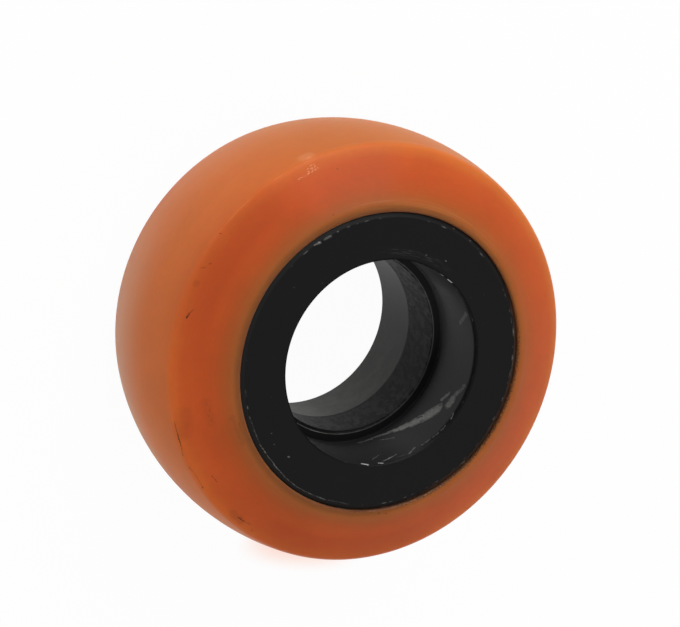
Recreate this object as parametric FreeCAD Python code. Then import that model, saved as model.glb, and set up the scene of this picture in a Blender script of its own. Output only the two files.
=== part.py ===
import FreeCAD
import Part
import math
import os

# A roller: a cast polyurethane tyre bonded round a turned steel hub.
# It stands on its end. +Z runs along its axis, and the origin is on the axis in the plane it stands on.
# All sizes are in millimetres.

# Tyre
tread_diameter = 101.6      # across the crown, at the middle of the tread
crown_radius = 73.0         # roundness of the tread along the axis
tread_width = 37.9          # from one tread corner to the other, before they are rounded
corner_radius = 2.0         # rounding where the tread meets a side face
faced_width = 1.5           # flat ring of a side face beside the hub; the rest of that face is a cone
tyre_proud = 0.4            # the tyre's inner edge stands this far past the hub's end face
lip_chamfer = 0.3           # chamfer on that inner edge

# Hub, outside
hub_diameter = 68.2         # the steel tube, which the tyre is bonded round
hub_width = 48.8            # from end face to end face
rim_chamfer = 1.2           # chamfer on the outer rim of an end face, measured along the radius
rim_chamfer_depth = 0.5     # the same chamfer, measured along the axis

# Hub, inside
seat_diameter = 47.0        # bearing seat, for a bearing of this outer diameter
mouth_chamfer = 0.3         # lead-in chamfer at the mouth of a seat
land_width = 12.7           # the shoulder ring left between the two seats
land_diameter = 42.8        # raw bore of the tube, left as it was between the seats
land_chamfer = 0.6          # chamfer on each edge of the land
relief_width = 1.25         # relief groove in the corner of a seat, measured along the axis
relief_depth = 0.4          # the same groove, measured outward from the seat; it tapers out at 45 degrees

# What follows from these
hub_radius = hub_diameter / 2
seat_radius = seat_diameter / 2
land_radius = land_diameter / 2
hub_half = hub_width / 2
land_half = land_width / 2
tyre_half = hub_half + tyre_proud
axis_z = FreeCAD.Vector(0, 0, 1)
centre = FreeCAD.Vector(0, 0, 0)
section_plane = Part.Plane(centre, FreeCAD.Vector(0, 1, 0))


def place(radius, height):
    """A point of a section, by its radius and its height above the middle plane."""
    return FreeCAD.Vector(radius, 0, height)


def line(start, end):
    return Part.LineSegment(place(*start), place(*end)).toShape()


def arc(start, through, end):
    return Part.Arc(place(*start), place(*through), place(*end)).toShape()


def rounded(first, second, corner, radius):
    """The arc that rounds the corner where two edges meet, and both edges cut back to it."""
    rounding = Part.ChFi2d.FilletAlgo()
    rounding.init(Part.Wire([first, second]), section_plane)
    rounding.perform(radius)
    return rounding.result(place(*corner))


def turned(across, end):
    """A solid of revolution from a section: the edges across the middle, and one end with its mirror image."""
    other_end = [edge.mirror(centre, axis_z) for edge in end]
    wire = Part.Wire(Part.__sortEdges__(across + end + other_end))
    return Part.Face(wire).revolve(centre, axis_z, 360)


def crown_at(height):
    """Radius of the crowned tread at this height above the middle plane."""
    return tread_diameter / 2 - crown_radius + math.sqrt(crown_radius ** 2 - height ** 2)


def tyre():
    """Crowned tread, conical side faces with a flat ring beside the hub, and a straight bore bonded to the hub."""
    crown = (crown_at(0), 0)
    quarter = (crown_at(tread_width / 4), tread_width / 4)
    corner = (crown_at(tread_width / 2), tread_width / 2)
    half_tread = arc(crown, quarter, corner)
    side = line(corner, (hub_radius + faced_width, tyre_half))
    corner_arc, half_tread, side = rounded(half_tread, side, corner, corner_radius)
    tread_end = max((vertex.Point for vertex in half_tread.Vertexes), key=lambda point: point.z)
    lip_start = tyre_half - lip_chamfer
    return turned(
        [
            arc((tread_end.x, -tread_end.z), crown, (tread_end.x, tread_end.z)),
            line((hub_radius, -lip_start), (hub_radius, lip_start)),
        ],
        [
            corner_arc,
            side,
            line((hub_radius + faced_width, tyre_half), (hub_radius + lip_chamfer, tyre_half)),
            line((hub_radius + lip_chamfer, tyre_half), (hub_radius, lip_start)),
        ],
    )


def hub():
    """Thick tube with a seat bored into each end, a relief groove in its corner and a land between."""
    groove_radius = seat_radius + relief_depth
    taper_end = land_half + relief_width
    taper_start = taper_end - relief_depth
    chamfer_start = land_half - land_chamfer
    mouth_start = hub_half - mouth_chamfer
    rim_start = hub_half - rim_chamfer_depth
    return turned(
        [
            line((land_radius, -chamfer_start), (land_radius, chamfer_start)),
            line((hub_radius, -rim_start), (hub_radius, rim_start)),
        ],
        [
            line((land_radius, chamfer_start), (land_radius + land_chamfer, land_half)),
            line((land_radius + land_chamfer, land_half), (groove_radius, land_half)),
            line((groove_radius, land_half), (groove_radius, taper_start)),
            line((groove_radius, taper_start), (seat_radius, taper_end)),
            line((seat_radius, taper_end), (seat_radius, mouth_start)),
            line((seat_radius, mouth_start), (seat_radius + mouth_chamfer, hub_half)),
            line((seat_radius + mouth_chamfer, hub_half), (hub_radius - rim_chamfer, hub_half)),
            line((hub_radius - rim_chamfer, hub_half), (hub_radius, rim_start)),
        ],
    )


os.makedirs("parts", exist_ok=True)
for name, shape in (("tyre", tyre()), ("hub", hub())):
    shape.translate(place(0, tyre_half))
    shape.exportStep("parts/" + name + ".step")
    box = shape.optimalBoundingBox(False, False)
    print(name, "valid" if shape.isValid() else "NOT VALID", "solids", len(shape.Solids))
    print("  volume in mm3", round(shape.Volume), "size in mm", round(box.XLength, 3), round(box.ZLength, 3))
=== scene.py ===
import bpy
import math
import numpy as np
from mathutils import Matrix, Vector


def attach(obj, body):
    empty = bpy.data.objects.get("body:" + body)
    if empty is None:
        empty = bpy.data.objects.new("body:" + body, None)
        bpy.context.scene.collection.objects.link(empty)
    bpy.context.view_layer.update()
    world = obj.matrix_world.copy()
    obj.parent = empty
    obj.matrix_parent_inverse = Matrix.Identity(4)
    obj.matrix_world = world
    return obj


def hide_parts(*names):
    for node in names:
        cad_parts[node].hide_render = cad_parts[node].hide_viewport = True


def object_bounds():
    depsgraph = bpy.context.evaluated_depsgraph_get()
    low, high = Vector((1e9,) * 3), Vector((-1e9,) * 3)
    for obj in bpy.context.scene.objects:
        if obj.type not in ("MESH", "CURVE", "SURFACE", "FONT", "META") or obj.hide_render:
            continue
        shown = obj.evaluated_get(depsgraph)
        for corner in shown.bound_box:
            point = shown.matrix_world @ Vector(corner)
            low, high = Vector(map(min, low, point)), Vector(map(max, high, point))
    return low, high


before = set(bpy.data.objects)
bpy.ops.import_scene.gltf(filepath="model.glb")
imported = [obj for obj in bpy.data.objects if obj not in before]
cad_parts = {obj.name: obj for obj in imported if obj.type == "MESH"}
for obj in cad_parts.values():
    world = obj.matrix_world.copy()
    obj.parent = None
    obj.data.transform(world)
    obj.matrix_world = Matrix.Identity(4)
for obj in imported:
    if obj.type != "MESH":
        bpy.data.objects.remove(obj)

# An orange polyurethane tyre cast round a short black steel hub. The roller lies on one end.
# Lengths in the dictionaries are in millimetres, and heights count from the roller's middle plane.
mm = 0.001
cadBox = [list(corner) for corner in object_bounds()]
middle = (cadBox[0][2] + cadBox[1][2]) / 2
print("frame loaded, middle plane at", round(middle / mm, 2), "mm")


# The section of a turned piece as a closed line: each corner is cut by an arc that touches both its sides,
# at rounding * tan(half the turn) from the corner, and the straight stretches between are cut into even steps.
# A short step stands at both ends of each stretch, so that the flat surfaces shade flat.
def roundedSection(corners, spacing, endStep=0.05):
    corner = np.array([place[:2] for place in corners], float)
    rounding = np.array([place[2] for place in corners], float)
    ahead = np.roll(corner, -1, axis=0) - corner
    ahead /= np.linalg.norm(ahead, axis=1)[:, None]
    behind = np.roll(ahead, 1, axis=0)
    turn = np.arctan2(behind[:, 0] * ahead[:, 1] - behind[:, 1] * ahead[:, 0], (behind * ahead).sum(axis=1))
    cut = (rounding * np.tan(np.abs(turn) / 2))[:, None]
    arcStart, arcEnd = corner - behind * cut, corner + ahead * cut
    inward = np.stack([-behind[:, 1], behind[:, 0]], axis=1) * np.sign(turn)[:, None]
    arcCentre = arcStart + inward * rounding[:, None]
    points = []
    for k in range(len(corner)):
        if rounding[k] > 0:
            sweep = np.linspace(0, turn[k], 3 + int(abs(turn[k]) * (3 + rounding[k])))
            spoke = arcStart[k] - arcCentre[k]
            across = np.array([-spoke[1], spoke[0]])
            points.append(arcCentre[k] + np.cos(sweep)[:, None] * spoke + np.sin(sweep)[:, None] * across)
        else:
            points.append(corner[k:k + 1])
        following = (k + 1) % len(corner)
        reach = arcStart[following] - arcEnd[k]
        length = np.linalg.norm(reach)
        margin = min(endStep, length / 4)
        if rounding[k] > 0 or rounding[following] > 0:
            share = np.linspace(margin, length - margin, 2 + int(length / spacing)) / length
            points.append(arcEnd[k] + share[:, None] * reach)
    return np.concatenate(points)


# The grid of a turned piece: every point of the section at every angle, as radius, height and angle.
def turnedGrid(section, steps):
    angle = np.linspace(0, 2 * math.pi, steps, endpoint=False)
    return section[:, :1] + 0 * angle, section[:, 1:] + 0 * angle, angle


# A closed skin of revolution: point (i, j) is at radius[i, j] from the axis, turned by angle[j], at height[i, j].
# The last row and the last column meet the first again, and a section that runs up on its outside faces outward.
def turnedSkin(name, radius, height, angle):
    points = np.stack([radius * np.cos(angle), radius * np.sin(angle), height + middle / mm], axis=-1)
    here = np.arange(radius.size).reshape(radius.shape)
    above, beside = np.roll(here, -1, axis=0), np.roll(here, -1, axis=1)
    faces = np.stack([here, beside, np.roll(above, -1, axis=1), above], axis=-1)
    mesh = bpy.data.meshes.new(name)
    mesh.from_pydata((points.reshape(-1, 3) * mm).tolist(), [], faces.reshape(-1, 4).tolist())
    mesh.polygons.foreach_set("use_smooth", np.ones(len(mesh.polygons), bool))
    mesh.update()
    piece = bpy.data.objects.new(name, mesh)
    bpy.context.scene.collection.objects.link(piece)
    return piece


# A section given for heights above the middle plane, and its mirror image below: the rows run up on the outside.
# Each corner is (radius, height, rounding).
def bothEnds(upper):
    return [(radius, -height, rounding) for radius, height, rounding in reversed(upper)] + upper


tyre = {
    "crown": 50.77,             # radius at the middle of the tread
    "crownRadius": 73.0,        # roundness of the tread along the axis
    "treadHalf": 18.95,         # to the corner where the tread meets the side face
    "treadRows": (0.5, 17.5, 18),  # heights of the tread's rows, from, to and how many
    "cornerRounding": 2.0,
    "ring": (35.6, 24.8),       # outer edge of the flat ring beside the hub
    "ringRounding": 4.0,
    "bore": 34.12,              # a hair outside the hub
    "lip": 0.3,                 # chamfer on the inner edge
    "lipRounding": 0.1,
    "spacing": 0.9,
    "steps": 540,
}


# The tread's radius at a height: crown - crownRadius + root(crownRadius squared - height squared).
def treadRadius(height):
    return tyre["crown"] - tyre["crownRadius"] + np.sqrt(tyre["crownRadius"] ** 2 - height ** 2)


def makeTyre():
    heights = np.linspace(*tyre["treadRows"])
    upper = [(radius, height, 0) for radius, height in zip(treadRadius(heights), heights)]
    upper += [
        (treadRadius(tyre["treadHalf"]), tyre["treadHalf"], tyre["cornerRounding"]),
        (*tyre["ring"], tyre["ringRounding"]),
        (tyre["bore"] + tyre["lip"], tyre["ring"][1], tyre["lipRounding"]),
        (tyre["bore"], tyre["ring"][1] - tyre["lip"], tyre["lipRounding"]),
    ]
    return turnedSkin("tyre_skin", *turnedGrid(roundedSection(bothEnds(upper), tyre["spacing"]), tyre["steps"]))


hub = {
    "outside": 34.1,
    "half": 24.4,
    "rimChamfer": (1.2, 0.5),   # along the radius, along the axis
    "seat": 23.5,
    "mouth": 0.3,
    "landHalf": 6.35,
    "landBore": 21.4,
    "landChamfer": 0.6,
    "relief": (0.4, 1.25),      # depth, width along the axis
    "rawBoreShift": (0.3, 130),  # the raw bore is this far off the axis, towards this angle in degrees
    "spacing": 2.6,
    "steps": 576,
}


def makeHub():
    groove = hub["seat"] + hub["relief"][0]
    taperEnd = hub["landHalf"] + hub["relief"][1]
    chamfer = hub["landChamfer"]
    upper = [
        (hub["outside"], hub["half"] - hub["rimChamfer"][1], 0.12),
        (hub["outside"] - hub["rimChamfer"][0], hub["half"], 0.2),
        (hub["seat"] + hub["mouth"], hub["half"], 0.08),
        (hub["seat"], hub["half"] - hub["mouth"], 0.08),
        (hub["seat"], taperEnd, 0.05),
        (groove, taperEnd - hub["relief"][0], 0.05),
        (groove, hub["landHalf"], 0.08),
        (hub["landBore"] + chamfer, hub["landHalf"], 0.12),
        (hub["landBore"], hub["landHalf"] - chamfer, 0.12),
    ]
    radius, height, angle = turnedGrid(roundedSection(bothEnds(upper), hub["spacing"]), hub["steps"])
    # the raw bore runs off the axis, so its edge slides along the chamfer: wider on one side, narrower on the other
    far, towards = hub["rawBoreShift"]
    shift = far * np.cos(angle - math.radians(towards)) * np.clip((hub["landBore"] + chamfer - radius) / chamfer, 0, 1)
    height = height + shift * np.clip(height / (hub["landHalf"] - chamfer), -1, 1)
    return turnedSkin("hub_skin", radius + shift, height, angle)


# sRGB hex to the linear colour that a shader takes: (s / 12.92) when dark, else ((s + 0.055) / 1.055) ** 2.4.
def hexColour(code):
    channels = [int(code[k:k + 2], 16) / 255 for k in (1, 3, 5)]
    linear = [s / 12.92 if s <= 0.04045 else ((s + 0.055) / 1.055) ** 2.4 for s in channels]
    return (*linear, 1.0)


# Adds a shader node with its settings and gives back one of its outputs, if it has any. An input that is given a
# socket is linked to it, any other is set to the value.
def addNode(tree, kind, inputs=None, output=0, **settings):
    node = tree.nodes.new(kind if kind.startswith("NodeGroup") else "ShaderNode" + kind)
    for name, value in settings.items():
        setattr(node, name, value)
    for key, value in (inputs or {}).items():
        if isinstance(value, bpy.types.NodeSocket):
            tree.links.new(value, node.inputs[key])
        else:
            node.inputs[key].default_value = value
    return node.outputs[output] if node.outputs else None


def newMaterial(name):
    material = bpy.data.materials.new(name)
    material.use_nodes = True
    material.node_tree.nodes.clear()
    return material, material.node_tree


# Where a point lies on a turned piece, as the first fields of its material: its place, the unit direction out from
# the axis, its distance from the axis, its rise over the middle plane, and its height from it whichever end it is at.
def turnedPlace(tree):
    place = addNode(tree, "TexCoord", output="Object")
    flat = addNode(tree, "VectorMath", {0: place, 1: (1, 1, 0)}, operation="MULTIPLY")
    depth = addNode(tree, "SeparateXYZ", {0: place}, output="Z")
    rise = addNode(tree, "Math", {0: depth, 1: middle}, operation="SUBTRACT")
    return {
        "place": place,
        "outward": addNode(tree, "VectorMath", {0: flat}, operation="NORMALIZE"),
        "radius": addNode(tree, "VectorMath", {0: flat}, output="Value", operation="LENGTH"),
        "rise": rise,
        "height": addNode(tree, "Math", {0: rise}, operation="ABSOLUTE"),
    }


# 1 where the value is within half a width of the centre, falling to 0 over the blur.
def bandMask(tree, value, centre, half, blur):
    off = addNode(tree, "Math", {0: value, 1: centre * mm}, operation="SUBTRACT")
    gap = addNode(tree, "Math", {0: off}, operation="ABSOLUTE")
    return addNode(tree, "MapRange", {"Value": gap, "From Min": half * mm, "From Max": (half + blur) * mm,
                                      "To Min": 1.0, "To Max": 0.0}, interpolation_type="SMOOTHSTEP")


# 1 towards an angle round the axis and 0 from the spread outward: the cosine to that direction, stretched.
def towardsAngle(tree, outward, angle, spread):
    aim = (math.cos(math.radians(angle)), math.sin(math.radians(angle)), 0)
    cosine = addNode(tree, "VectorMath", {0: outward, 1: aim}, output="Value", operation="DOT_PRODUCT")
    return addNode(tree, "MapRange", {"Value": cosine, "From Min": math.cos(math.radians(spread)), "From Max": 1.0},
                   interpolation_type="SMOOTHSTEP")


# A colour that changes with a distance: straight between the stops, each of them a distance in mm and a colour.
def colourByStops(tree, value, stops):
    first, last = stops[0][0], stops[-1][0]
    share = addNode(tree, "MapRange", {"Value": value, "From Min": first * mm, "From Max": last * mm})
    colour = addNode(tree, "ValToRGB", {"Fac": share}, output="Color")
    elements = colour.node.color_ramp.elements
    while len(elements) < len(stops):
        elements.new(0.5)
    for element, (distance, code) in zip(elements, stops):
        element.position = (distance - first) / (last - first)
        element.color = hexColour(code)
    return colour


# Streaks that run round the axis: noise that changes over the pitch along the section, and slowly round the turn.
def turningLines(tree, field, pitch, rounds):
    run = addNode(tree, "Math", {0: field["height"], 1: field["radius"]}, operation="SUBTRACT")
    line = addNode(tree, "Math", {0: run, 1: 1 / (pitch * mm)}, operation="MULTIPLY")
    spread = addNode(tree, "VectorMath", {0: field["outward"], "Scale": rounds}, operation="SCALE")
    along = addNode(tree, "CombineXYZ", {2: line})
    where = addNode(tree, "VectorMath", {0: spread, 1: along}, operation="ADD")
    return addNode(tree, "TexNoise", {"Vector": where, "Scale": 1.0, "Detail": 2.0})


# A stroke's strength at a point: 1 within a quarter of its width of the line from start to end, 0 from its width on.
# The point's share along the line is the dot product with the line over its length squared, held between 0 and 1.
def strokeGroup():
    tree = bpy.data.node_groups.new("stroke", "ShaderNodeTree")
    for name, kind in (("Place", "Vector"), ("Start", "Vector"), ("Line", "Vector"), ("Width", "Float"),
                       ("Strength", "Float"), ("Before", "Float")):
        tree.interface.new_socket(name, in_out="INPUT", socket_type="NodeSocket" + kind)
    tree.interface.new_socket("Amount", in_out="OUTPUT", socket_type="NodeSocketFloat")
    given = addNode(tree, "NodeGroupInput").node.outputs
    line = given["Line"]
    reach = addNode(tree, "VectorMath", {0: given["Place"], 1: given["Start"]}, operation="SUBTRACT")
    along = addNode(tree, "VectorMath", {0: reach, 1: line}, output="Value", operation="DOT_PRODUCT")
    squared = addNode(tree, "VectorMath", {0: line, 1: line}, output="Value", operation="DOT_PRODUCT")
    run = addNode(tree, "Math", {0: along, 1: squared}, operation="DIVIDE")
    atMost = addNode(tree, "Math", {0: run, 1: 1.0}, operation="MINIMUM")
    share = addNode(tree, "Math", {0: atMost, 1: 0.0}, operation="MAXIMUM")
    foot = addNode(tree, "VectorMath", {0: line, "Scale": share}, operation="SCALE")
    off = addNode(tree, "VectorMath", {0: reach, 1: foot}, output="Value", operation="DISTANCE")
    relative = addNode(tree, "Math", {0: off, 1: given["Width"]}, operation="DIVIDE")
    level = addNode(tree, "MapRange", {"Value": relative, "From Min": 0.25, "From Max": 1.0, "To Min": 1.0,
                                       "To Max": 0.0}, interpolation_type="SMOOTHSTEP")
    scaled = addNode(tree, "Math", {0: level, 1: given["Strength"]}, operation="MULTIPLY")
    most = addNode(tree, "Math", {0: given["Before"], 1: scaled}, operation="MAXIMUM")
    addNode(tree, "NodeGroupOutput", {"Amount": most})
    return tree


stroke = strokeGroup()
shakeSize = 0.9                 # mm, the noise that keeps a stroke from being ruled straight


# Several strokes as one mask. Each is (angle, radius, height) at its start and at its end, its width and strength.
# A little noise moves the point first, by the waver at most.
def strokeMask(tree, place, strokes, waver):
    shake = addNode(tree, "TexNoise", {"Vector": place, "Scale": 1 / (shakeSize * mm), "Detail": 2.0}, output="Color")
    centred = addNode(tree, "VectorMath", {0: shake, 1: (0.5, 0.5, 0.5)}, operation="SUBTRACT")
    moved = addNode(tree, "VectorMath", {0: centred, 1: (waver * mm,) * 3, 2: place}, operation="MULTIPLY_ADD")
    amount = 0.0
    for start, end, width, strength in strokes:
        ends = []
        for angle, radius, height in (start, end):
            turn = math.radians(angle)
            ends.append(np.array([radius * math.cos(turn), radius * math.sin(turn), height]) * mm + [0, 0, middle])
        amount = addNode(tree, "Group", {
            "Place": moved,
            "Start": tuple(ends[0]),
            "Line": tuple(ends[1] - ends[0]),
            "Width": width * mm,
            "Strength": strength,
            "Before": amount,
        }, node_tree=stroke)
    return amount


# Strokes in a bearing seat, given by angle and height alone.
def inSeat(strokes):
    return [(*[(angle, hub["seat"], height) for angle, height in ends], width, strength)
            for *ends, width, strength in strokes]


# Small scattered specks: the cells of a Voronoi pattern whose random value is above the share left bare, and in
# them the points within the size of the cell's centre.
def speckMask(tree, place, apart, size, bare, strength):
    distance = addNode(tree, "TexVoronoi", {"Vector": place, "Scale": 1 / (apart * mm)}, output="Distance")
    near = addNode(tree, "MapRange", {"Value": distance, "From Min": size / apart * 0.5, "From Max": size / apart,
                                      "To Min": strength, "To Max": 0.0})
    chance = addNode(tree, "SeparateColor", {0: distance.node.outputs["Color"]})
    chosen = addNode(tree, "Math", {0: chance, 1: bare}, operation="GREATER_THAN")
    return addNode(tree, "Math", {0: near, 1: chosen}, operation="MULTIPLY")


# Several fields as one: those named together are multiplied, and of the groups that a bar parts the greatest counts.
def together(tree, field, names):
    greatest = None
    for group in names.split("|"):
        whole, *others = [field[name] for name in group.split()]
        for other in others:
            whole = addNode(tree, "Math", {0: whole, 1: other}, operation="MULTIPLY")
        if greatest is not None:
            whole = addNode(tree, "Math", {0: greatest, 1: whole}, operation="MAXIMUM")
        greatest = whole
    return greatest


# The fields that are lengths, so a ramp over one of them is given in millimetres.
lengths = ("radius", "rise", "height", "tornRadius", "wallHere", "along", "stuck")


# Makes the fields of a material, one after another, each from its kind and what that kind takes:
# noise: its size in mm, detail and roughness; lines: their pitch in mm and how much they change in a turn;
# side: the angle that it is strongest at, and its spread; band: a field, and the centre, half width and blur in mm;
# ramp or eased: a field, the two values between which it changes, and its level at each of them;
# sum: a field, times a factor, plus a field or a number; under: a field, and the value in mm that it stays under;
# strokes: how far they waver in mm; specks: how far apart they are and their size in mm, the share left bare, and
# their strength; product: the fields, as together takes them.
def addFields(tree, field, given):
    for name, (kind, *values) in given["fields"].items():
        if kind == "noise":
            made = addNode(tree, "TexNoise", {"Vector": field["place"], "Scale": 1 / (values[0] * mm),
                                              "Detail": values[1], "Roughness": values[2]})
        elif kind == "lines":
            made = turningLines(tree, field, *values)
        elif kind == "side":
            made = towardsAngle(tree, field["outward"], *values)
        elif kind == "band":
            made = bandMask(tree, field[values[0]], *values[1:])
        elif kind in ("ramp", "eased"):
            source, start, end, low, high = values
            unit = mm if source in lengths else 1
            made = addNode(tree, "MapRange", {"Value": field[source], "From Min": start * unit, "From Max": end * unit,
                                              "To Min": low, "To Max": high},
                           interpolation_type="LINEAR" if kind == "ramp" else "SMOOTHSTEP")
        elif kind == "sum":
            source, factor, added = values
            made = addNode(tree, "Math", {0: field[source], 1: factor, 2: field.get(added, added)},
                           operation="MULTIPLY_ADD")
        elif kind == "under":
            made = addNode(tree, "Math", {0: field[values[0]], 1: values[1] * mm}, operation="LESS_THAN")
        elif kind == "strokes":
            made = strokeMask(tree, field["place"], given[name], *values)
        elif kind == "specks":
            made = speckMask(tree, field["place"], *values)
        else:
            made = together(tree, field, *values)
        field[name] = made


# Lays colours over a first one. Each layer has the fields that it shows through, as together takes them, its
# strength and its colour. A colour is a hex code or the name of a field.
def layered(tree, field, first, layers):
    below = hexColour(first) if first.startswith("#") else field[first]
    for names, strength, code in layers:
        shown = addNode(tree, "Math", {0: together(tree, field, names), 1: strength}, operation="MULTIPLY")
        colour = hexColour(code) if code.startswith("#") else field[code]
        below = addNode(tree, "Mix", {0: shown, 6: below, 7: colour}, output=2, data_type="RGBA")
    return below


# The shader over a colour, with the fields roughness and relief, how deep the relief is in mm, and its constants.
def finishMaterial(tree, field, colour, depth, constants):
    bump = addNode(tree, "Bump", {"Height": field["relief"], "Strength": 0.5, "Distance": depth * mm})
    shader = addNode(tree, "BsdfPrincipled", {
        "Base Color": colour,
        "Roughness": field["roughness"],
        "Normal": bump,
        **constants,
    })
    addNode(tree, "OutputMaterial", {"Surface": shader})


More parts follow.
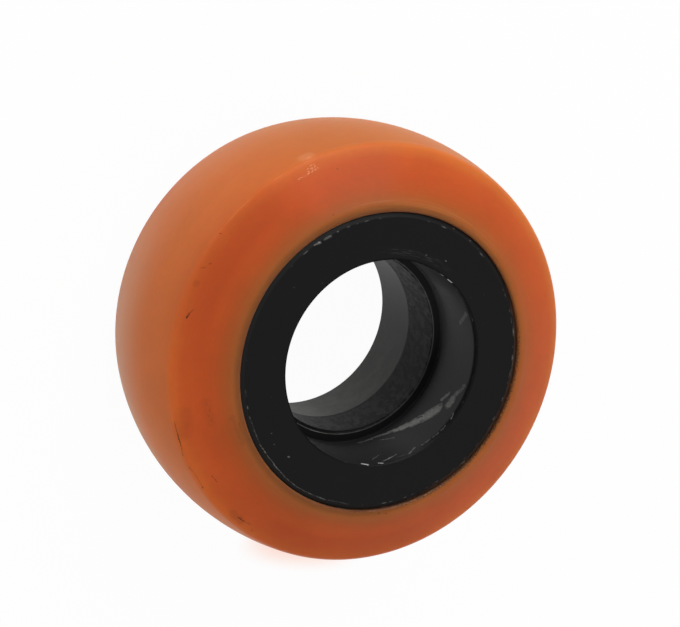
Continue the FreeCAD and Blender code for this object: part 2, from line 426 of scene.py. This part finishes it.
polyurethane = {
    # distance from the axis in mm, and the colour there: dark where the hub shows through near the bond, red-orange
    # on the side face, then lighter towards the edge and paler on the tread, as painted glow through the edge and
    # painted sheen
    "byDistance": [(34.0, "#8a5838"), (34.4, "#7b4b2b"), (35.2, "#8d5528"), (36.0, "#a8602d"), (37.5, "#b25a27"),
                   (39.0, "#bc5724"), (42.0, "#c65724"), (45.5, "#cb5d27"), (47.3, "#cf692c"), (48.2, "#cd6c32"),
                   (48.7, "#cc6c34"), (50.8, "#cb6c35")],
    "fields": {
        "cloud": ("noise", 11.0, 3.0, 0.55),  # the pour's soft clouds
        "mottle": ("noise", 1.4, 2.0, 0.5),
        "patches": ("noise", 4.0, 3.0, 0.5),
        "torn": ("noise", 0.45, 2.0, 0.5),
        "dust": ("noise", 0.35, 2.0, 0.5),
        "lines": ("lines", 0.3, 2.2),  # fine turning lines, drawn a little coarse so that they show
        # the distance that the colour follows: cleaner on one side near the hub, and wandering with the clouds
        "cleanSide": ("side", 110, 110),
        "cleaner": ("sum", "cleanSide", 0.9 * mm, "radius"),
        "wander": ("ramp", "cloud", 0, 1, -1.0 * mm, 1.0 * mm),
        "wandering": ("sum", "wander", 1, "radius"),
        "awayFromHub": ("ramp", "radius", 35.5, 39.0, 0, 1),
        # lighter and darker with the clouds, the mottle and the lines
        "shade": ("sum", "cloud", 0.2, 0.815),
        "grained": ("sum", "mottle", 0.07, "shade"),
        "level": ("sum", "lines", 0.1, "grained"),
        "tread": ("ramp", "radius", 48.0, 48.7, 0, 1),
        "rimward": ("eased", "radius", 44.8, 48.0, 0, 1),
        "yellowSide": ("side", 168, 85),
        "rolledSide": ("side", 200, 50),
        "crease": ("band", "radius", 48.1, 0.02, 0.16),
        "creaseSide": ("side", 250, 24),
        "broken": ("ramp", "patches", 0.4, 0.62, 0.06, 0.34),
        "cutLines": ("ramp", "lines", 0.5, 0.64, 0, 1),
        "besideHub": ("band", "radius", 36.1, 0.5, 1.3),
        "cutSide": ("side", 198, 42),
        "tornRadius": ("sum", "torn", -1.8 * mm, "radius"),
        "bonded": ("ramp", "tornRadius", 33.3, 33.6, 0.9, 0),
        "grimySide": ("side", 75, 85),
        "insideCrease": ("band", "radius", 45.2, 2.2, 2.8),
        "deepLeft": ("side", 270, 30),
        "deepRight": ("side", 22, 42),
        "smudges": ("strokes", 1.6),
        "lower": ("eased", "rise", -10, 9, 1, 0),
        "dustSide": ("side", 318, 58),
        "dusty": ("sum", "dustSide", 0.36, 0.05),
        "highlightAndScuffs": ("strokes", 0.15),
        "cuts": ("strokes", 0.35),
        "gaps": ("ramp", "torn", 0.36, 0.56, 0.45, 1),
        "specks": ("specks", 7.0, 0.22, 0.55, 0.55),
        "skin": ("ramp", "tread", 0, 1, 0.33, 0.55),
        "roughness": ("sum", "mottle", 0.1, "skin"),
        "relief": ("sum", "dust", 0.25, "lines"),
    },
    "layers": [
        ("rimward yellowSide", 0.42, "#cf7a38"),  # painted light: yellower towards the outer edge on the side towards the lamps, as light glows through the thin edge
        ("tread rolledSide", 0.5, "#aa5c26"),  # painted shade: the tread darker on the side towards the lamps, against its sheen
        ("crease creaseSide broken", 1, "#e8965c"),  # the sharp crease where the tread was turned, with a painted highlight along it on one side, broken in places
        ("cutLines besideHub cutSide", 0.15, "#d0925a"),  # turning lines left beside the hub
        ("bonded grimySide", 1, "#48301f"),  # flash and grime along the bond, with a ragged edge, and painted shade in the corner at the bond on one side
        ("insideCrease deepLeft | insideCrease deepRight", 0.32, "#a0401c"),  # painted shade: darker just inside the crease on two sides
        ("smudges", 1, "#5c2210"),
        ("dusty lower tread", 1, "#c8a488"),  # dust on the rolling surface, most of all on one side
        # a painted highlight on the tread's edge, and pale scuffed flecks
        ("highlightAndScuffs", 1, "#eeb084"),
        ("cuts gaps | specks", 1, "#2c120a"),
    ],
    "cuts": [
        ((286.3, 46.35, 19.85), (285.1, 46.15, 19.95), 0.3, 0.95),
        ((285.1, 46.15, 19.95), (283.8, 45.65, 20.17), 0.16, 0.6),
        ((273.0, 47.44, 19.35), (272.4, 46.74, 19.67), 0.13, 0.55),
        ((271.1, 46.45, 19.81), (270.7, 46.05, 19.99), 0.18, 0.65),
        ((277.3, 46.94, 19.58), (276.9, 46.9, 19.6), 0.9, 0.22),
        ((263.2, 47.97, 18.98), (263.0, 47.72, 19.18), 0.2, 0.65),
        ((261.6, 46.54, 19.76), (261.2, 46.05, 19.99), 0.12, 0.4),
        ((227.0, 44.75, 20.59), (226.8, 44.7, 20.61), 0.22, 0.75),
        ((234.1, 36.79, 24.25), (234.0, 36.7, 24.27), 0.22, 0.6),
        ((314.6, 47.85, 19.09), (318.1, 47.85, 19.09), 0.16, 0.6),
        ((318.1, 47.85, 19.09), (321.6, 47.85, 19.09), 0.2, 0.95),
        ((321.6, 47.85, 19.09), (324.3, 48.19, 18.74), 0.15, 0.6),
        ((328.0, 47.97, 18.98), (328.3, 47.97, 18.98), 0.24, 0.8),
        ((328.3, 47.97, 18.98), (331.2, 47.58, 19.27), 0.12, 0.45),
        ((331.2, 47.58, 19.27), (335.1, 47.72, 19.18), 0.12, 0.45),
        ((334.9, 47.72, 19.18), (335.1, 47.72, 19.18), 0.24, 0.8),
        ((332.7, 44.85, 20.54), (335.5, 44.65, 20.63), 0.15, 0.55),
        ((348.7, 46.35, 19.85), (350.6, 46.25, 19.9), 0.22, 0.95),
        ((350.6, 46.25, 19.9), (353.0, 45.95, 20.04), 0.15, 0.6),
        ((354.7, 46.94, 19.58), (354.9, 46.9, 19.6), 0.24, 0.65),
        ((309.9, 41.07, 22.28), (310.9, 41.3, 22.18), 0.14, 0.4),
        ((311.8, 40.6, 22.5), (312.8, 40.8, 22.4), 0.14, 0.4),
        ((313.9, 41.2, 22.22), (314.6, 41.0, 22.32), 0.14, 0.35),
        ((315.5, 40.67, 22.46), (316.1, 40.9, 22.36), 0.14, 0.4),
        ((315.6, 35.65, 24.78), (320.6, 35.65, 24.78), 0.13, 0.7),
        ((320.6, 35.65, 24.78), (323.1, 35.49, 24.8), 0.13, 0.5),
        ((32.4, 35.05, 24.8), (32.6, 35.0, 24.8), 0.22, 0.7),
        ((35.3, 35.38, 24.8), (35.5, 35.38, 24.8), 0.25, 0.7),
    ],
    "smudges": [
        # dirt rubbed into the skin, soft and wide
        ((312.5, 45.6, 20.2), (318.0, 46.8, 19.6), 2.4, 0.13),
        ((346.5, 46.4, 19.8), (350.0, 46.6, 19.7), 1.5, 0.2),
        ((309.5, 41.2, 22.2), (316.5, 40.9, 22.4), 1.5, 0.1),
        ((316.0, 36.6, 24.3), (326.0, 36.2, 24.5), 0.9, 0.14),
    ],
    "highlightAndScuffs": [
        # a painted highlight on the tread's edge, drawn as a soft pale scuff, and the scuffed flecks in rows below it
        ((233.4, 48.65, 17.3), (232.7, 48.65, 17.3), 2.3, 0.17),
        ((233.1, 48.5, 18.0), (232.6, 48.5, 18.0), 0.85, 0.28),
        ((233.7, 47.14, 19.49), (233.2, 47.24, 19.44), 0.17, 0.4),
        ((232.8, 47.14, 19.49), (232.5, 47.14, 19.49), 0.17, 0.3),
        ((234.8, 46.84, 19.62), (234.4, 46.84, 19.62), 0.17, 0.4),
        ((233.9, 46.64, 19.72), (233.4, 46.64, 19.72), 0.18, 0.55),
        ((232.8, 46.64, 19.72), (232.4, 46.8, 19.65), 0.17, 0.55),
        ((234.9, 46.35, 19.85), (234.6, 46.35, 19.85), 0.17, 0.55),
        ((233.7, 46.35, 19.85), (233.3, 46.42, 19.82), 0.16, 0.4),
        ((232.2, 46.35, 19.85), (231.9, 46.1, 19.97), 0.16, 0.35),
        ((235.2, 45.95, 20.04), (234.7, 46.05, 19.99), 0.22, 0.65),
        ((234.1, 45.95, 20.04), (233.6, 46.05, 19.99), 0.19, 0.5),
        ((233.0, 46.05, 19.99), (232.6, 46.15, 19.95), 0.19, 0.6),
        ((238.3, 45.85, 20.08), (237.9, 45.85, 20.08), 0.18, 0.5),
        ((237.6, 45.95, 20.04), (237.1, 45.85, 20.08), 0.16, 0.45),
        ((236.8, 45.9, 20.06), (235.8, 45.8, 20.1), 0.4, 0.1),
    ],
    "reliefDepth": 0.01,        # mm
    "shader": {
        "IOR": 1.5,
        "Specular IOR Level": 0.09,
        "Coat Weight": 0.12,
        "Coat Roughness": 0.14,
        "Coat IOR": 1.4,
        "Subsurface Weight": 0.8,
        "Subsurface Radius": (1.0, 0.35, 0.12),
        "Subsurface Scale": 5 * mm,
    },
}


# Cast polyurethane, turned to size: light goes a few millimetres into it, so edges glow, shadows turn red and the
# black hub darkens it near the bond; its skin is satin, smoother on the faces than on the tread.
def castPolyurethane():
    material, tree = newMaterial("cast_polyurethane")
    field = turnedPlace(tree)
    addFields(tree, field, polyurethane)
    used = addNode(tree, "Mix", {0: field["awayFromHub"], 2: field["cleaner"], 3: field["wandering"]})
    byDistance = colourByStops(tree, used, polyurethane["byDistance"])
    field["body"] = addNode(tree, "VectorMath", {0: byDistance, "Scale": field["level"]}, operation="SCALE")
    colour = layered(tree, field, "body", polyurethane["layers"])
    finishMaterial(tree, field, colour, polyurethane["reliefDepth"], polyurethane["shader"])
    return material


steel = {
    "twist": 0.015,             # radians a mm, how the streaks in the raw bore turn as they run along it
    "slant": (1.9, 1.9, 4.2),   # mm, the size of the streaks across and along
    # painted light and shade: the near seat's colour by height, lighter at its foot beside the groove and darkest a
    # little above it
    "seatByHeight": [(6.4, "#262626"), (8.3, "#1d1d1d"), (9.6, "#0d0d0d"), (13.0, "#090909"), (21.0, "#141415"),
                     (24.2, "#141415")],
    "fields": {
        "cloud": ("noise", 6.0, 4.0, 0.6),
        "fine": ("noise", 0.5, 3.0, 0.5),
        "spots": ("noise", 1.9, 3.0, 0.6),
        "chance": ("noise", 1.6, 4.0, 0.5),
        "frayed": ("noise", 0.3, 2.0, 0.5),
        "lines": ("lines", 0.16, 1.6),  # the tool's feed across the faces
        "level": ("sum", "cloud", 0.5, 0.75),
        "belowMouth": ("under", "height", 24.12),
        "nearAxis": ("under", "radius", 24.5),
        "inBore": ("product", "belowMouth nearAxis"),
        "inLand": ("ramp", "height", 6.1, 6.25, 1, 0),
        "farEnd": ("under", "rise", 0),
        "nearEnd": ("ramp", "rise", 6.5, 7.0, 0, 1),
        # dark from the land's chamfer over its flat side, then easing out across the relief groove
        "aside": ("side", hub["rawBoreShift"][1], 180),
        "wallHere": ("sum", "aside", -0.5 * mm, "radius"),
        "pastWall": ("ramp", "wallHere", 21.52, 21.7, 0, 1),
        "along": ("sum", "radius", 1, "height"),
        "fading": ("eased", "along", 29.8, 30.5, 1, 0),
        "onChamfer": ("ramp", "radius", 32.95, 33.15, 0, 1),
        "atMouth": ("ramp", "radius", 23.85, 23.95, 1, 0),
        "litSide": ("side", 165, 62),
        "streaked": ("ramp", "scale", 0.42, 0.53, 0, 1),
        "spotted": ("ramp", "spots", 0.37, 0.5, 0, 1),
        # painted shade: black along the end of the raw bore on one side
        "rawEnd": ("band", "height", 5.35, 0.5, 0.35),
        "rawEndSide": ("side", 28, 50),
        "oilySide": ("side", 30, 85),
        "aboveFoot": ("ramp", "height", 8.2, 10.0, 0, 1),
        "atFoot": ("ramp", "height", 8.0, 9.6, 1, 0),
        "below": ("ramp", "height", 22.7, 23.3, 0, 1),
        "blackSide": ("side", 112, 60),
        "blackBelow": ("product", "below blackSide"),
        "dustySide": ("side", 55, 65),
        "patchy": ("ramp", "cloud", 0.36, 0.62, 0.3, 1),
        # grime and polyurethane flash on the rim's chamfer, with a ragged edge
        "cakedSide": ("side", 95, 75),
        "caked": ("sum", "cakedSide", 1.1 * mm, "radius"),
        "stuck": ("sum", "spots", 1.4 * mm, "caked"),
        "flash": ("ramp", "stuck", 34.9, 35.1, 0, 1),
        # worn edges, with painted highlights along the mouth and the land's edge, rubbed places, specks and the
        # scrape, all broken up by noise
        "rimEdge": ("band", "radius", 32.9, 0.02, 0.16),
        "mouthRadius": ("band", "radius", 23.5, 0.05, 0.04),
        "mouthHeight": ("band", "height", 24.02, 0.03, 0.12),
        "rare": ("ramp", "chance", 0.56, 0.72, 0, 0.5),
        "landRadius": ("band", "radius", 21.98, 0.02, 0.1),
        "landHeight": ("band", "height", 6.33, 0.02, 0.12),
        "landHighlightAngle": ("side", 78, 72),
        "landSide": ("ramp", "landHighlightAngle", 0, 1, 0.9, 0.12),
        "often": ("ramp", "chance", 0.3, 0.65, 0.25, 0.9),
        "rubbed": ("strokes", 0.3),
        "tattered": ("ramp", "frayed", 0.38, 0.56, 0, 1),
        "specks": ("specks", 1.9, 0.13, 0.72, 1),
        "clustered": ("ramp", "cloud", 0.48, 0.62, 0.06, 0.4),
        "scratched": ("strokes", 0.9),
        "scrapeEdge": ("sum", "fine", 0.6, "scratched"),
        "ragged": ("ramp", "scrapeEdge", 0.5, 0.72, 0, 1),
        "patchedBy": ("ramp", "frayed", 0.34, 0.6, 0.5, 1),
        # faint arcs that something turned on the face has left near the mouth
        "arcLines": ("lines", 0.13, 9.0),
        "arcs": ("ramp", "arcLines", 0.52, 0.66, 0, 0.08),
        "arcBand": ("band", "radius", 25.3, 0.5, 0.5),
        "arcSide": ("side", 196, 26),
        "nicks": ("strokes", 0.2),
        "pits": ("strokes", 0.2),
        # rougher in the raw bore, and duller on two sides of the near seat and just below its mouth
        "inRawBore": ("product", "inLand inBore"),
        "smooth": ("ramp", "inBore", 0, 1, 0.44, 0.38),
        "rough": ("sum", "inRawBore", 0.22, "smooth"),
        "dullLeft": ("side", 14, 46),
        "dullRight": ("side", 182, 26),
        "twoSides": ("product", "dullLeft | dullRight"),
        "dullest": ("sum", "blackBelow", 2.2, "twoSides"),
        "filmed": ("product", "dullest nearEnd inBore"),
        "dulled": ("sum", "filmed", 0.19, "rough"),
        "roughness": ("sum", "fine", 0.12, "dulled"),
        "ridges": ("product", "inRawBore scale"),
        "raised": ("sum", "ridges", 5.0, "lines"),
        "relief": ("sum", "fine", 0.6, "raised"),
    },
    "zones": [
        # a zone's name, its first colour, and the layers over it
        ("rawWall", "#303131", [("litSide", 1, "#5a5a5a")]),
        # the raw bore: dark, its streaks and spots lighter on the lit side, and painted shade black along its end on
        # one side
        ("raw", "#040404", [("streaked spotted", 1, "rawWall"), ("rawEnd rawEndSide", 1, "#000000")]),
        # the near seat: its colour by height as painted light and shade, painted shade darker above the foot on one
        # side, the foot painted pale on the lit side, and black just below the mouth
        ("nearSeat", "dry", [("oilySide aboveFoot", 1, "#080808"), ("atFoot litSide", 1, "#525252"),
                             ("blackBelow", 1, "#000000")]),
        # the far seat: painted light, lighter in patches on one side where light comes in through the bore
        ("farSeat", "#2e2e2e", [("dustySide patchy", 1, "#52524c")]),
        ("groove", "#141414", [("litSide", 1, "#2c2c2c")]),
        ("bored", "nearSeat", [("farEnd", 1, "farSeat"), ("inLand", 1, "raw"), ("pastWall fading", 1, "groove")]),
        ("rim", "#181818", [("flash", 1, "#3e2e26")]),
        ("face", "#0b0b0b", [("onChamfer", 1, "rim"), ("atMouth", 1, "#000000")]),
        ("film", "face", [("inBore", 1, "bored")]),
    ],
    "layers": [
        # pale where worn, with painted highlights along the mouth and the land's edge
        ("rimEdge rare | mouthRadius mouthHeight rare | landRadius landHeight landSide often | rubbed tattered"
         " | specks clustered | scratched ragged patchedBy | arcs arcBand arcSide", 1, "#90908d"),
        ("nicks", 1, "#d2d2cf"),
        ("pits", 1, "#030303"),
    ],
    "rubbed": [
        # worn places on the rim, on the mouth of the seat and on the face
        ((317.8, 33.0, 24.36), (323.2, 32.8, 24.4), 0.13, 0.22),
        ((323.2, 32.85, 24.39), (330.2, 32.95, 24.37), 0.13, 0.3),
        ((330.2, 32.95, 24.37), (334.4, 32.85, 24.39), 0.16, 0.55),
        ((334.4, 32.85, 24.39), (342.1, 32.85, 24.39), 0.13, 0.35),
        ((340.5, 32.85, 24.39), (343.5, 32.85, 24.39), 0.18, 0.6),
        ((342.1, 32.85, 24.39), (348.5, 33.0, 24.36), 0.13, 0.36),
        ((348.5, 33.0, 24.36), (354.4, 33.1, 24.32), 0.13, 0.5),
        ((354.4, 33.1, 24.32), (1.9, 33.0, 24.36), 0.13, 0.5),
        ((1.9, 33.0, 24.36), (7.2, 32.8, 24.4), 0.12, 0.32),
        ((10.0, 32.8, 24.4), (19.3, 32.8, 24.4), 0.12, 0.25),
        ((342.6, 29.4, 24.4), (343.0, 29.3, 24.4), 0.22, 0.7),
        ((244.9, 33.0, 24.36), (242.5, 32.7, 24.4), 0.3, 0.5),
        ((240.5, 32.8, 24.4), (237.8, 32.7, 24.4), 0.36, 0.4),
        ((234.7, 32.9, 24.38), (234.1, 32.9, 24.38), 0.24, 0.4),
        ((230.5, 32.9, 24.38), (229.8, 32.9, 24.38), 0.22, 0.4),
        ((184.3, 33.6, 24.1), (183.8, 33.6, 24.1), 0.2, 0.35),
        ((175.4, 33.4, 24.2), (174.9, 33.4, 24.2), 0.2, 0.35),
        ((170.6, 33.3, 24.24), (170.1, 33.3, 24.24), 0.18, 0.3),
        ((132.0, 33.1, 24.32), (129.0, 33.1, 24.32), 0.2, 0.35),
        ((120.0, 33.4, 24.2), (112.0, 33.2, 24.28), 0.16, 0.25),
        ((210.9, 24.9, 24.4), (200.3, 25.2, 24.4), 0.1, 0.12),
        ((130.9, 33.23, 24.26), (130.1, 33.23, 24.26), 0.3, 0.5),
        ((120.4, 33.1, 24.3), (119.4, 33.1, 24.3), 0.3, 0.45),
        ((94.4, 33.0, 24.36), (93.4, 33.0, 24.36), 0.3, 0.4),
        ((73.2, 33.66, 24.08), (72.2, 33.5, 24.1), 0.3, 0.5),
        ((328.8, 29.6, 24.4), (328.6, 29.5, 24.4), 0.16, 0.35),
        ((333.9, 30.2, 24.4), (333.7, 30.3, 24.4), 0.16, 0.35),
        ((191.6, 25.8, 24.4), (191.2, 25.8, 24.4), 0.2, 0.5),
        ((180.2, 26.6, 24.4), (179.8, 26.6, 24.4), 0.2, 0.6),
    ],
    "scratched": inSeat([
        # the long pale scrape in the seat, from its blade to its ragged tail, then the marks beside it
        ((59.3, 10.6), (63.0, 11.4), 1.2, 0.95),
        ((63.0, 11.5), (69.0, 12.7), 1.6, 1.0),
        ((69.0, 12.8), (75.0, 14.1), 2.0, 1.0),
        ((75.0, 14.3), (80.0, 15.6), 2.3, 0.85),
        ((80.0, 15.7), (83.5, 16.6), 2.2, 0.75),
        ((83.5, 16.6), (86.0, 17.0), 1.3, 0.65),
        ((89.6, 15.9), (94.4, 17.3), 0.8, 0.55),
        ((89.4, 19.4), (92.4, 19.7), 2.0, 0.55),
        ((92.5, 19.2), (97.0, 20.2), 1.3, 0.4),
        ((97.0, 20.4), (102.2, 21.7), 1.2, 0.35),
        ((55.8, 9.9), (58.2, 10.2), 0.9, 0.6),
        ((52.7, 9.6), (55.0, 9.9), 0.8, 0.6),
        ((48.1, 9.1), (52.0, 9.5), 0.85, 0.5),
        ((42.5, 9.3), (46.6, 9.2), 0.75, 0.45),
        ((37.0, 9.4), (41.0, 9.3), 0.6, 0.4),
        ((74.5, 23.6), (78.0, 23.4), 0.3, 0.55),
        ((45.0, 22.6), (49.5, 22.9), 0.2, 0.4),
        ((48.0, 11.4), (55.0, 13.5), 0.26, 0.55),
        ((145.7, 21.8), (136.5, 17.2), 0.95, 0.4),
        ((32.2, 20.8), (39.1, 18.7), 0.2, 0.5),
        ((37.1, 22.6), (43.4, 21.6), 0.4, 0.7),
        ((43.4, 21.8), (46.5, 21.0), 0.3, 0.5),
        ((51.8, 23.4), (57.2, 22.1), 0.4, 0.55),
        ((61.2, 22.9), (66.4, 23.1), 0.26, 0.6),
        ((66.4, 23.1), (72.7, 23.4), 0.24, 0.6),
        ((83.0, 23.6), (86.5, 22.9), 0.34, 0.65),
    ]),
    "nicks": [
        # nicks down to bright metal at the mouth, and flecks at the rim
        ((178.7, 23.52, 23.95), (176.3, 23.6, 24.1), 0.18, 0.55),
        ((172.9, 23.6, 24.15), (169.6, 23.7, 24.25), 0.19, 0.85),
        ((22.8, 23.5, 23.4), (25.4, 23.55, 23.8), 0.5, 1.0),
        ((33.0, 23.5, 23.3), (34.8, 23.55, 23.8), 0.28, 0.95),
        ((142.9, 21.6, -3.2), (142.3, 21.6, -3.4), 0.35, 0.25),
        ((243.2, 33.0, 24.36), (242.6, 32.9, 24.37), 0.2, 0.3),
    ],
    "pits": inSeat([
        ((158.1, 12.8), (158.0, 12.7), 0.4, 0.8),
        ((122.0, 13.9), (121.8, 13.8), 0.35, 0.7),
        ((73.0, 12.5), (75.4, 13.6), 0.3, 0.95),
        ((67.6, 11.6), (68.2, 11.7), 0.2, 0.7),
        ((72.4, 14.8), (73.4, 15.0), 0.3, 0.8),
        ((86.0, 16.6), (91.5, 18.8), 0.35, 0.7),
    ]),
    "reliefDepth": 0.012,       # mm
    "shader": {"IOR": 1.5, "Specular IOR Level": 0.18},
}


# Blackened steel: an oxide film over turned metal. The faces are satin with fine feed lines, the seats smoother, the
# raw bore between them scaly and blotched, and bare metal shows grey where edges are worn, with painted highlights
# along the mouth and the land's edge.
def blackenedSteel():
    material, tree = newMaterial("blackened_steel")
    field = turnedPlace(tree)
    # scale in the raw bore: noise drawn out along the axis and twisted a little, as the tube's rolling left its marks
    twist = addNode(tree, "Math", {0: field["rise"], 1: steel["twist"] / mm, 2: steel["twist"] * middle / mm},
                    operation="MULTIPLY_ADD")
    twisted = addNode(tree, "VectorRotate", {"Vector": field["place"], "Angle": twist}, rotation_type="Z_AXIS")
    stretch = tuple(1 / (size * mm) for size in steel["slant"])
    slant = addNode(tree, "VectorMath", {0: twisted, 1: stretch}, operation="MULTIPLY")
    field["scale"] = addNode(tree, "TexNoise", {"Vector": slant, "Scale": 1.0, "Detail": 3.0, "Roughness": 0.55})
    addFields(tree, field, steel)
    field["dry"] = colourByStops(tree, field["height"], steel["seatByHeight"])
    for name, first, layers in steel["zones"]:
        field[name] = layered(tree, field, first, layers)
    field["body"] = addNode(tree, "VectorMath", {0: field["film"], "Scale": field["level"]}, operation="SCALE")
    colour = layered(tree, field, "body", steel["layers"])
    finishMaterial(tree, field, colour, steel["reliefDepth"], steel["shader"])
    return material


for maker, node, slotName, material in (
    (makeTyre, "tyre", "polyurethane", castPolyurethane),
    (makeHub, "hub", "black_steel", blackenedSteel),
):
    piece = maker()
    piece.data.materials.append(material())
    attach(piece, "root")
    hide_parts(node)
    print("made", piece.name, len(piece.data.polygons) * 2, "triangles")

studio = {
    "far": 700,                 # the lamps' distance from the roller's middle
    "lamps": [
        # name, degrees round the axis from +X, degrees above the floor, size in mm, power in watts
        ("key_lamp", 202, 36, 520, 2.1),
        ("glint_lamp", 213, 16, 60, 0.3),  # small, for the tight highlights
    ],
    "skyLow": 0.7,
    "skyHigh": 0.58,
    "skyHighAt": 0.8,           # from this sine of the elevation on the sky has its high level
    "floor": "#f4f4f4",
    "floorShare": 0.965,        # how much of the floor's white doesn't depend on the lamps
    "floorHalf": 3000,
    "glow": "#ffe3d9",          # painted light: the orange light that the tyre lets through to the floor, away from the lamp
    "glowSide": (34, 16),       # the angle that it lies at, and its spread
    "glowOff": 18,              # how far the glow's ring is off the axis, along Y
    "glowBand": (49.3, 7, 6),   # the ring's radius, half width and blur
}


# A lamp on a sphere round the roller, turned towards the roller's middle.
def addLamp(name, angle, height, size, power):
    light = bpy.data.lights.new(name, "AREA")
    light.shape = "SQUARE"
    light.size = size * mm
    light.energy = power
    lamp = bpy.data.objects.new(name, light)
    bpy.context.scene.collection.objects.link(lamp)
    around, rise, far = math.radians(angle), math.radians(height), studio["far"] * mm
    lamp.location = (far * math.cos(around) * math.cos(rise), far * math.sin(around) * math.cos(rise),
                     middle + far * math.sin(rise))
    lamp.rotation_euler = (math.pi / 2 - rise, 0, around + math.pi / 2)


# 1 for what the camera sees straight or by a reflection or through glass, 0 for light that bounces off.
def seenDirectly(tree):
    path = addNode(tree, "LightPath").node.outputs
    first = addNode(tree, "Math", {0: path["Is Camera Ray"], 1: path["Is Glossy Ray"]}, operation="MAXIMUM")
    return addNode(tree, "Math", {0: first, 1: path["Is Transmission Ray"]}, operation="MAXIMUM")


def makeFloor():
    half = studio["floorHalf"] * mm
    mesh = bpy.data.meshes.new("floor")
    mesh.from_pydata([(-half, -half, 0), (half, -half, 0), (half, half, 0), (-half, half, 0)], [], [(0, 1, 2, 3)])
    floor = bpy.data.objects.new("floor", mesh)
    bpy.context.scene.collection.objects.link(floor)
    material, tree = newMaterial("white_floor")
    lit = addNode(tree, "BsdfDiffuse", {"Color": hexColour(studio["floor"])})
    field = turnedPlace(tree)
    moved = addNode(tree, "VectorMath", {0: field["place"], 1: (0, studio["glowOff"] * mm, 0)}, operation="SUBTRACT")
    ring = addNode(tree, "VectorMath", {0: moved}, output="Value", operation="LENGTH")
    strength = addNode(tree, "Math", {0: bandMask(tree, ring, *studio["glowBand"]),
                                      1: towardsAngle(tree, field["outward"], *studio["glowSide"])},
                       operation="MULTIPLY")
    tint = addNode(tree, "Mix", {0: strength, 6: (1, 1, 1, 1), 7: hexColour(studio["glow"])}, output=2,
                   data_type="RGBA")
    white = addNode(tree, "Emission", {"Color": tint, "Strength": 1.0})
    share = addNode(tree, "Math", {0: seenDirectly(tree), 1: studio["floorShare"]}, operation="MULTIPLY")
    mix = addNode(tree, "MixShader", {0: share, 1: lit, 2: white})
    addNode(tree, "OutputMaterial", {"Surface": mix})
    mesh.materials.append(material)


def makeSky():
    world = bpy.data.worlds.new("studio")
    world.use_nodes = True
    tree = world.node_tree
    tree.nodes.clear()
    direction = addNode(tree, "TexCoord", output="Generated")
    rise = addNode(tree, "SeparateXYZ", {0: direction}, output="Z")
    level = addNode(tree, "MapRange", {"Value": rise, "From Min": 0.0, "From Max": studio["skyHighAt"],
                                       "To Min": studio["skyLow"], "To Max": studio["skyHigh"]})
    soft = addNode(tree, "Background", {"Color": (1, 1, 1, 1), "Strength": level})
    white = addNode(tree, "Background", {"Color": (1, 1, 1, 1), "Strength": 1.0})
    mix = addNode(tree, "MixShader", {0: addNode(tree, "LightPath", output="Is Camera Ray"), 1: soft, 2: white})
    addNode(tree, "OutputWorld", {"Surface": mix})
    bpy.context.scene.world = world


makeFloor()
makeSky()
for lampValues in studio["lamps"]:
    addLamp(*lampValues)
print("studio ready")

view = {
    "place": (-0.040, -180.288, 346.771),
    "turn": (-15.275, -24.828, 124.579),  # degrees about X, Y and Z
    "lens": 83.38,
    "sensor": 36,
    "clip": (0.01, 20),         # in metres
}
eye = bpy.data.cameras.new("camera")
eye.sensor_width = view["sensor"]
eye.lens = view["lens"]
eye.clip_start, eye.clip_end = view["clip"]
camera = bpy.data.objects.new("camera", eye)
bpy.context.scene.collection.objects.link(camera)
camera.location = [part * mm for part in view["place"]]
camera.rotation_euler = [math.radians(part) for part in view["turn"]]
bpy.context.scene.camera = camera
bpy.context.scene.view_settings.view_transform = "Standard"
print("camera ready")
